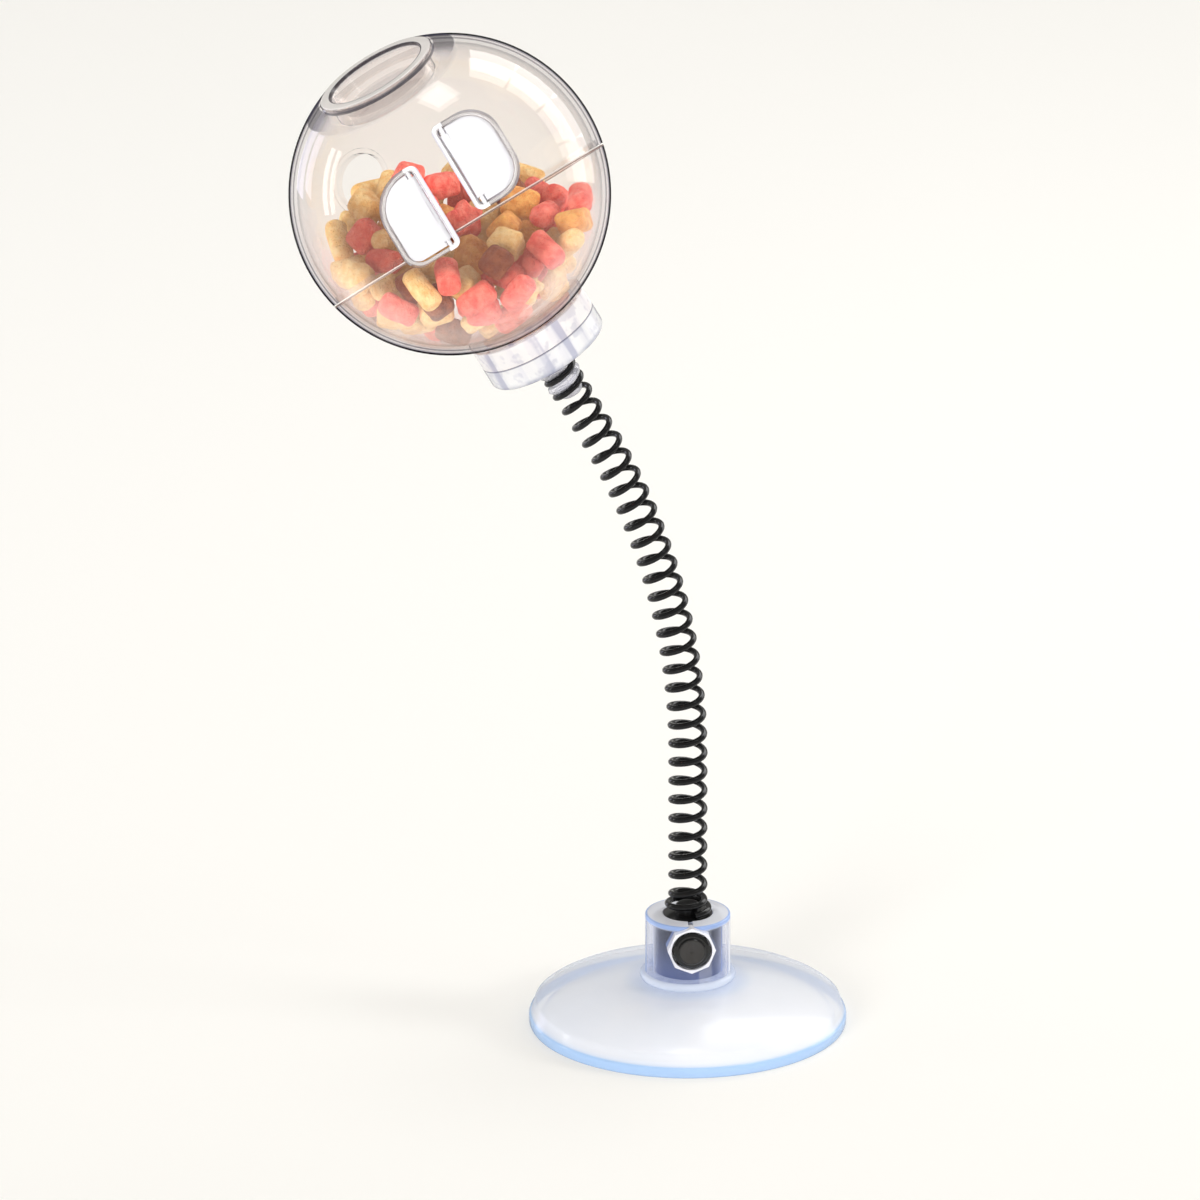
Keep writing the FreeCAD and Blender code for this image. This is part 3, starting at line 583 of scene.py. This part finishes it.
def clear(name, tint, line=LINE, soft=LILAC, veil=0.01, rim=0.10, dark=0.92, line_from=0.775, shine=0.3,
          extra=None, lift=None):
    """Clear plastic: see-through, glossy, softly tinted towards its outline, and with a painted dark line along it.

    veil, rim and dark are the shares of solid tone all over, towards the outline, and along it from line_from on.
    shine is that tone's gloss, extra adds a piece's own marks, and lift adds light from below.
    """
    f = Finish(name)
    facing = f.facing()
    ripple = f.bump(f.noise(70, 1), 0.0002, 0.05)
    gloss = f.node("BsdfGlossy", {}, {"Color": (1.0, 1.0, 1.0), "Roughness": 0.03, "Normal": ripple})
    through = f.node("BsdfTransparent", {}, {"Color": tint})
    # Painted dark outline: a dark tone where the wall is seen edge-on, standing in for the dark refraction there.
    edge = f.between(facing, line_from, line_from + 0.09)
    share = veil + f.between(facing, 0.35, 0.85) * rim + edge * dark
    tone = f.blend(edge, soft, line)
    if extra:
        share, tone = extra(f, share, tone)
    sockets = {"Base Color": tone, "Roughness": 0.15, "Specular IOR Level": shine, "Coat Weight": shine / 2}
    if lift:
        sockets["Emission Color"], sockets["Emission Strength"] = lift(f), 1.0
    body = f.shine(sockets)
    wall = f.node("MixShader", {}, {0: 0.03 + 0.5 * facing ** 3, 1: through, 2: gloss})
    return f.done(f.node("MixShader", {}, {0: share, 1: wall, 2: body}))


def coat(material, *names):
    """Gives CAD nodes a finish."""
    for name in names:
        for slot in nodes[name].material_slots:
            slot.material = material
    print(material.name, "on", ", ".join(names))


print("the ball's axis leans by degrees:", round(math.degrees(math.acos(AXIS.z)), 1))

# %% [markdown]
# The marks on the clear pieces are painted by place, and many of them are painted light. A ring mask picks the
# points whose distance from an axis lies between two radii. The painted reflection streaks are a noise that is
# pressed together along the ball's axis, so that it runs that way. The paper's glow is light that comes into the
# ball's wall from below.

# %% Marks by place
def ring_mask(f, direction, start, low, high, soft=0.00008):
    """1 where a point's distance from an axis lies between low and high, and its height along it."""
    height, whole = f.along(direction, start), f.far(start)
    away = (whole * whole - height * height) ** 0.5
    return f.between(away, low - soft, low + soft) * f.between(away, high + soft, high - soft), height


def streaks(f):
    """Painted long soft reflections along the neck, as of windows in thick clear walls, with cloudy patches."""
    # Painted reflection: the streak pattern of mirrored windows.
    long = f.noise(240, 2, f.drawn_out(AXIS, 0.95))
    bright = f.between(long, 0.42, 0.56)
    dull = f.between(long, 0.42, 0.34)
    cloudy = f.between(f.noise(330, 2), 0.50, 0.64) * 0.45
    tone = f.blend(bright, f.blend(dull, photo(246, 246, 250), photo(198, 200, 218)), photo(255, 255, 255))
    return f.blend(cloudy, tone, photo(196, 198, 216))


def paper_glow(f):
    """Light that the paper below sends up into the ball's wall."""
    low = f.between(f.along((0, 0, 1), CENTRE), 0.006, -0.022) * f.between(f.along(AXIS, CENTRE), -0.0385, -0.0360)
    low = low * f.between(f.facing(), 0.74, 0.62)
    return f.blend(low, (0.0, 0.0, 0.0), photo(158, 152, 148))


print("the paper sends up the light", [round(c, 3) for c in photo(158, 152, 148)])

# %% [markdown]
# The ball's wall shows most: a painted dark second line inside its outline, painted hazy glare and a painted amber
# band of refracted treats low down, the thin seam where the halves meet with a painted highlight above it, painted
# dark ends beside the filler hole, and a thick silvery neck with painted reflection streaks.

# %% The ball's wall
def ball_wall(f, share, tone):
    """What the ball's wall shows beside its outline.

    A painted glow of the paper lies along its lower edge and in hazy patches over the treats, and a painted amber
    band of refracted treats lies low down. A painted dark second line runs inside the outline. The halves meet in a
    thin brown line with a painted highlight above it. The neck is thick and looks silvery with painted reflection
    streaks.
    The shoulder round the filler hole is pale, with painted dark ends where refraction darkens it, and dark where
    the lid sits.
    """
    facing = f.facing()
    outside = f.between(f.far(CENTRE), 0.0388, 0.0398)
    # Painted dark second line just inside the outline.
    second = f.between(facing, 0.725, 0.745) * f.between(facing, 0.785, 0.760) * outside
    share = share * (0.12 + 0.88 * outside) + second * 0.28
    low = f.between(f.along((0, 0, 1), CENTRE), 0.002, -0.022)
    # Painted light: the paper's glow along the wall's lower edge.
    glow = low * f.between(facing, 0.20, 0.50) * f.between(facing, 0.72, 0.60)
    # Painted glare: hazy light patches over the lower treats.
    painted_glare = low * f.between(f.noise(45, 1), 0.53, 0.58) * f.between(facing, 0.28, 0.42)
    tone = f.blend(second, f.blend(glow, tone, photo(250, 244, 240)), photo(110, 104, 116))
    # Painted refraction: an amber band of the treats seen in the wall low down.
    treat_refraction = low * f.between(facing, 0.54, 0.62) * f.between(facing, 0.74, 0.70)
    tone = f.blend(treat_refraction, tone, photo(186, 146, 124))
    share = share + glow * 0.10 + painted_glare * 0.20 + treat_refraction * 0.10
    height = f.along(SEAM_UP, CENTRE - SEAM_UP * SEAM_DROP)
    dark = f.between(height, -0.00020, -0.00012) * f.between(height, 0.00016, 0.00008)
    # Painted highlight: a bright line just above the seam.
    light = f.between(height, 0.00016, 0.00024) * f.between(height, 0.00055, 0.00045)
    tone = f.blend(light, f.blend(dark, tone, photo(150, 128, 118)), photo(250, 246, 240))
    share = share + dark * 0.7 + light * 0.3
    shoulder, up = ring_mask(f, AXIS, CENTRE, 0.0160, 0.0215)
    shoulder = shoulder * f.between(up, 0.0320, 0.0323) * f.between(up, 0.0329, 0.0327)
    around, up = ring_mask(f, AXIS, CENTRE, 0.0165, 0.0212, 0.0002)
    ends = f.along(AXIS.cross(back).normalized(), CENTRE)
    # Painted shade: dark ends of the shoulder beside the filler hole, where refraction darkens it.
    painted_dark_ends = around * f.between(up, 0.0335, 0.0340) * f.between(facing, 0.42, 0.62)
    painted_dark_ends = painted_dark_ends * f.between(ends * ends, 0.0138 ** 2, 0.0160 ** 2)
    seat, up = ring_mask(f, AXIS, CENTRE, 0.0159, 0.0163)
    seat = seat * f.between(up, 0.0354, 0.0356) * f.between(up, 0.0364, 0.0362)
    tone = f.blend(painted_dark_ends + seat, f.blend(shoulder, tone, photo(226, 222, 232)), photo(70, 68, 80))
    share = share * (1.0 - painted_dark_ends * 0.5) + shoulder * 0.10 + painted_dark_ends * 0.62 + seat * 0.6
    # The neck gets the painted reflection streaks.
    neck = f.between(f.along(AXIS, CENTRE), -0.0375, -0.0385)
    tone = f.blend(neck, tone, streaks(f))
    return share * (1.0 - neck) + neck * 0.72, tone


print("the halves meet below the ball's middle by mm:", round(SEAM_DROP / MM, 1))

# %% [markdown]
# The cap is as silvery as the neck. The filler lid has a creamy flange between dark lines, the frames are white on
# the side where the flap's hinge sits, and the collar has a milky lip with blue edges.

# %% Cap, lid, frames and collar
def silver(f, share, tone):
    """The cap is as thick as the neck, and looks silvery all over with painted reflection streaks. A painted dark
    line runs along its outline, a dark line marks its mouth, and a painted bluish shade lies at its foot.
    """
    edge = f.between(f.facing(), 0.80, 0.92)
    mouth, up = ring_mask(f, AXIS, CENTRE, 0.0150, 0.0170)
    line = mouth * f.between(up, MOUTH - 0.0005, MOUTH - 0.0003) * f.between(up, MOUTH + 0.0003, MOUTH + 0.0001)
    # Painted shade: bluish grey patches at the cap's foot.
    foot = f.between(up, MOUTH - 0.0042, MOUTH - 0.0060) * f.between(f.noise(160, 1), 0.35, 0.6)
    tone = f.blend(foot * 0.6, streaks(f), photo(138, 144, 180))
    return 0.74 + edge * 0.2 + line * 0.1, f.blend(edge + line * 0.7, tone, photo(96, 98, 124))


def lid_rings(f, share, tone):
    """The lid's flange is creamy, between a dark line at its foot and a thin one round its recess."""
    flange, up = ring_mask(f, AXIS, CENTRE, 0.0134, 0.0158)
    inner, up = ring_mask(f, AXIS, CENTRE, 0.0128, 0.0134)
    top = f.between(up, 0.0364, 0.0367)
    foot, up = ring_mask(f, AXIS, CENTRE, 0.0158, 0.0161)
    foot = foot * f.between(up, 0.0363, 0.0361)
    dark = inner * top + foot
    tone = f.blend(dark, f.blend(flange * top, tone, photo(253, 249, 245)), photo(56, 50, 58))
    return share + flange * top * 0.65 + dark * 0.8, tone


def hinge_side(f, share, tone):
    """The side of the frame that holds the hinge is white like the flap, with a painted lilac grey shade nearest
    the middle bar, and the ledge under the flap is white too.
    """
    side = f.along(SEAM_X, CENTRE)
    aside = (side * side) ** 0.5
    bar = f.between(aside, 0.0073, 0.0071)
    # Painted shade: lilac grey nearest the middle bar, as the shaded side wall of a thick white flap.
    away = f.between(aside, 0.0044, 0.0038)
    ledge = f.between(f.far(CENTRE), 0.0390, 0.0388)
    tone = f.blend(ledge, tone, photo(240, 238, 244))
    tone = f.blend(bar, tone, f.blend(away, photo(250, 249, 252), photo(214, 210, 222)))
    return share * (1.0 - bar) + bar * 0.95 + ledge * (1.0 - bar) * 0.7, tone


def collar_bands(f, share, tone):
    """The collar's lip is milky, with blue along its edges, and painted light reflection streaks run down its
    sides.
    """
    height = f.along((0, 0, 1), (0, 0, COLLAR_TOP))
    lip = f.between(height, -0.0016, -0.0008)
    x = f.along((1, 0, 0))
    y = f.along((0, 1, 0))
    out = (x * x + y * y) ** 0.5
    blue = f.between(out, 0.0100, 0.0104) * lip
    # Painted reflection: light streaks that run down the collar's sides.
    long = f.between(f.noise(260, 1, f.drawn_out(Vector((0, 0, 1)), 0.97)), 0.56, 0.62) * (1.0 - lip)
    tone = f.blend(blue, f.blend(lip + long, tone, photo(244, 246, 252)), photo(160, 186, 236))
    return share + lip * 0.55 + blue * 0.2 + long * 0.12, tone


print("the ball's mouth lies below its middle by mm:", round(-MOUTH / MM, 1))

# %% [markdown]
# Each clear piece gets its finish by name. The ball's wall has no gloss in its solid tone, because edge-on it would
# mirror the bright room and turn the dark outline grey.

# %% Clear pieces
styrene = clear("clear styrene", photo(255, 253.4, 252.2), dark=0.80, line_from=0.785, shine=0.0,
                extra=ball_wall, lift=paper_glow)
coat(styrene, "lower_shell", "upper_shell")
coat(clear("clear lid", photo(254, 252, 251), veil=0.03, line_from=0.80, extra=lid_rings), "filler_lid")
framing = clear("clear frame", photo(251, 250, 248), veil=0.12, line_from=0.6, extra=hinge_side)
coat(framing, "left_frame", "right_frame")
coat(clear("clear cap", photo(250, 250, 253), extra=silver), "neck_cap")
coat(clear("clear spigot", photo(248, 248, 251), photo(90, 90, 100), photo(236, 236, 242), veil=0.25, rim=0.35),
     "spigot")
coat(clear("clear collar", photo(244, 246, 254), photo(140, 168, 224), photo(214, 222, 246), veil=0.03, rim=0.3,
           dark=0.5, line_from=0.72, extra=collar_bands), "collar")

# %% [markdown]
# A thin round bead runs along each window's frame. It is drawn as a closed curve: the window's outline, with its
# two bowed corners, is laid on the ball, and a small circle is swept along it. Seen from outside, the bead shows as
# two brown lines with light between them; the brown lines are the painted dark outline of clear plastic. A thin
# straight rib lies along each hinge, where it closes the gap between the frame and the flap's barrel.

# %% Frame beads
WINDOW_BAR, CORNER_R, BEAD_R, BEAD_INSET, BEAD_FROM_CENTRE = 3.75, 2.0, 0.45, 0.7, 40.65
HINGE_FROM_CENTRE, HINGE_X, RIB_X, RIB_R = 38.8, 6.35, 4.95, 0.27
# Each window: side, height, width, middle, and the radii of its lower and its upper bow.
WINDOWS = {"left": (-1, 23.6, 14.6, -0.9, 4.3, 10.5), "right": (1, 24.2, 15.5, 4.0, 8.0, 8.0)}


def window_line(side, inset):
    """Points of a window's outline on the ball, at most a millimetre apart."""
    sign, height, width, mid, low, high = WINDOWS[side]
    x0, x1 = WINDOW_BAR + inset, WINDOW_BAR + width - inset
    z0, z1 = mid - height / 2 + inset, mid + height / 2 - inset
    flat = []
    for x, z, r, turn in ((x0, z1, CORNER_R, 180), (x1, z1, high, 90), (x1, z0, low, 0), (x0, z0, CORNER_R, -90)):
        cx, cz = x + (r if x == x0 else -r), z + (r if z == z0 else -r)
        for step in range(7):
            a = math.radians(turn - 15 * step)
            flat.append((cx + r * math.cos(a), cz + r * math.sin(a)))
    line = []
    for (xa, za), (xb, zb) in zip(flat, flat[1:] + flat[:1]):
        count = max(1, math.ceil(math.hypot(xb - xa, zb - za)))
        for i in range(count):
            x, z = sign * (xa + (xb - xa) * i / count), za + (zb - za) * i / count
            out = math.sqrt(BEAD_FROM_CENTRE ** 2 - x * x - z * z)
            line.append(CENTRE + (SEAM_X * x + SEAM_UP * z + back * out) * MM)
    return line


def hinge_line(side):
    """Points along a window's hinge, where a thin rib closes the gap between the frame and the flap's barrel."""
    sign, height, _, mid, _, _ = WINDOWS[side]
    out = math.sqrt(HINGE_FROM_CENTRE ** 2 - HINGE_X ** 2 - mid ** 2)
    tip = math.asin(mid / HINGE_FROM_CENTRE)
    line = []
    for i in range(21):
        along = (height / 2 - 1.6) * (i / 10 - 1)
        x, z = RIB_X * sign, mid + along * math.cos(tip)
        line.append(CENTRE + (SEAM_X * x + SEAM_UP * z + back * (out - along * math.sin(tip))) * MM)
    return line


# The bead's brown lines are the painted dark outline of clear plastic.
edging = clear("clear bead", photo(253, 251, 249), photo(150, 122, 110), photo(253, 250, 249), veil=0.6,
               line_from=0.55)
for side in WINDOWS:
    bead = tube(side + "_bead", window_line(side, BEAD_INSET), BEAD_R, edging, closed=True)
    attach(bead, "lid")

# %% [markdown]
# ## Solid plastics
# The flaps and the ribs beside them are white and glossy. The plug inside the collar is nearly black, and its slate
# blue, lighter towards the bottom, is painted light seen through the clear collar; it has a pale neck that is black
# above the lip. The clamp screw is black with a duller face, and sits in a bright bezel.

# %% Solid plastics
def solid(name, first, second, roughness, coat_weight=0.4):
    """Moulded plastic: two close tones in large soft clouds, and a very fine grain."""
    f = Finish(name)
    tone = f.blend(f.between(f.noise(60, 2), 0.35, 0.65), first, second)
    sockets = {"Base Color": tone, "Roughness": roughness, "Coat Weight": coat_weight, "Coat Roughness": 0.05}
    sockets["Normal"] = f.bump(f.noise(1500, 2), 0.00002, 0.3)
    return f.done(f.shine(sockets))


def slate():
    """A nearly black plug, painted slate blue and lighter towards the bottom as light seen through the collar, pale
    where the neck passes the lip, and black above it.
    """
    f = Finish("slate plug")
    z = f.node("SeparateXYZ", {}, {0: f.place()}, "Z")
    x, y = z.out("X"), z.out("Y")
    neck = f.between((x * x + y * y) ** 0.5, 0.0066, 0.0063)
    # Painted light: dark at the top, lighter slate blue towards the bottom.
    tone = f.blend(f.between(z, 0.0135, 0.027), photo(84, 98, 134), photo(26, 30, 44))
    tone = f.blend(f.between(z, 0.0272, 0.0276) * neck, tone, photo(206, 212, 230))
    tone = f.blend(f.between(z, 0.0289, 0.0291) * neck, tone, photo(6, 6, 7))
    return f.done(f.shine({"Base Color": tone, "Roughness": 0.3, "Coat Weight": 0.3, "Coat Roughness": 0.05}))


white = solid("white flap", photo(236, 235, 240), photo(244, 243, 247), 0.22)
coat(white, "left_flap", "right_flap", "left_flap_pin", "right_flap_pin")
rib_white = solid("white rib", photo(232, 230, 238), photo(242, 241, 246), 0.25)
for side in WINDOWS:
    rib = tube(side + "_rib", hinge_line(side), RIB_R, rib_white)
    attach(rib, "lid")
coat(slate(), "spring_plug")


SCREW_AXIS = Vector((0.087156, -0.996195, 0.0))


def screw_face():
    """Black, with a duller round face."""
    f = Finish("black screw")
    low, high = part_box("clamp_screw")
    middle = (Vector(low) + Vector(high)) / 2
    face = ring_mask(f, SCREW_AXIS, Vector((0, 0, middle.z)), -0.001, 0.0031, 0.0002)[0]
    grain = f.noise(900, 3)
    tone = f.blend(face, photo(4, 4, 5), f.blend(grain, photo(44, 42, 41), photo(54, 52, 50)))
    sockets = {"Base Color": tone, "Roughness": 0.12 + face * 0.4, "Coat Weight": 0.3, "Coat Roughness": 0.05}
    sockets["Normal"] = f.bump(grain, 0.00003, 0.4)
    return f.done(f.shine(sockets))


coat(screw_face(), "clamp_screw")
coat(solid("bright bezel", photo(228, 228, 236), photo(250, 250, 252), 0.12, 0.8), "screw_bezel")

# %% [markdown]
# ## Treats
# The treats are baked crumbs in the shape of short sausages, stars and small pillows. Their packed places come from
# the model, so copies of its blocks are rounded here: the flat facets are joined into whole sides, the edges are
# bevelled, one subdivision rounds them, and a slow noise swells them like dough, so that no two are alike. Points
# that would pass the ball's wall are drawn back. A painted shade darkens the dough where it lies deeper in the
# heap, and a faint painted glow in its own tone brightens all of it.

# %% Treats
def dough(name, light, dark):
    """Baked dough in two tones with dark specks and a rough grain, a painted shade deep in the heap and a painted
    glow.
    """
    f = Finish(name)
    grain = f.noise(1700, 4)
    slow = f.noise(420, 3)
    tone = f.blend(f.between(slow, 0.3, 0.7), dark, light)
    speck = f.between(f.noise(1500, 2), 0.60, 0.72)
    tone = f.blend(speck * 0.35, tone, tuple(c * 0.55 for c in dark))
    # Painted shade: darker where the treat lies deeper in the heap, low in the ball.
    heap_shade = f.between(f.far(CENTRE), 0.0344, 0.0290)
    heap_shade = heap_shade * f.between(f.along((0, 0, 1), CENTRE), 0.000, -0.010)
    tone = f.blend(heap_shade * 0.66, tone, photo(104, 46, 26))
    sockets = {"Base Color": tone, "Roughness": 0.65}
    # Painted glow: the dough glows faintly in its own tone.
    sockets["Emission Color"], sockets["Emission Strength"] = tone, 0.36
    sockets["Normal"] = f.bump(grain + slow * 1.2, 0.0010, 1.0)
    return f.done(f.shine(sockets))


INSIDE, SWELL, LUMPY = 0.0381, 0.50, 0.40


def baked(node, finish):
    """A rounded copy of one node's blocks, kept inside the ball's wall."""
    source = nodes[node]
    piece = source.copy()
    piece.data = source.data.copy()
    piece.name = "baked_" + node
    bpy.context.scene.collection.objects.link(piece)
    piece.parent = None
    piece.matrix_world = source.matrix_world.copy()
    only(piece)
    bpy.ops.mesh.customdata_custom_splitnormals_clear()
    set_mode("EDIT")
    bpy.ops.mesh.select_all(action="SELECT")
    bpy.ops.mesh.remove_doubles(threshold=0.00002)
    bpy.ops.mesh.dissolve_limited(angle_limit=math.radians(2))
    bpy.ops.mesh.normals_make_consistent(inside=False)
    set_mode("OBJECT")
    edges = piece.modifiers.new("edges", "BEVEL")
    edges.width, edges.segments, edges.limit_method = 0.0007, 2, "ANGLE"
    edges.angle_limit = math.radians(20)
    rounder = piece.modifiers.new("rounder", "SUBSURF")
    rounder.levels = rounder.render_levels = 1
    lumps = bpy.data.textures.new(node + " lumps", "CLOUDS")
    lumps.noise_scale, lumps.noise_depth = 0.0030, 1
    push = piece.modifiers.new("lumps", "DISPLACE")
    push.texture, push.texture_coords = lumps, "GLOBAL"
    push.strength, push.mid_level = LUMPY * 2 * MM, 0.5 - SWELL / (LUMPY * 2)
    apply_modifiers(piece)
    for vertex in piece.data.vertices:
        out = vertex.co - CENTRE
        if out.length > INSIDE:
            vertex.co = CENTRE + out * (INSIDE / out.length)
    finished(piece, finish, 180)
    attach(piece, "ball")
    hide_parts(node)
    return piece


sand = dough("sandy dough", photo(255, 222, 160), photo(240, 190, 116))
salmon = dough("salmon dough", photo(255, 140, 122), photo(234, 94, 82))
orange = dough("orange dough", photo(252, 190, 110), photo(226, 150, 76))
brown = dough("brown dough", photo(160, 96, 62), photo(118, 62, 38))
doughs = {"sand": sand, "red": salmon, "orange": orange, "brown": brown}
treats = [baked(node, doughs[node.split("_")[0]]) for node in nodes if node.split("_")[0] in doughs]
print("treat pieces:", len(treats))

# %% [markdown]
# ## Sizes
# How far each corner of the finished box lies from the imported model's is printed. The finished picture must
# fill the same box as the imported model.

# %% Sizes
low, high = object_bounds()
for name, new, old in (("low", low, cad_low), ("high", high, cad_high)):
    print(name, "corner moved by mm:", [round((a - b) / MM, 2) for a, b in zip(new, old)])
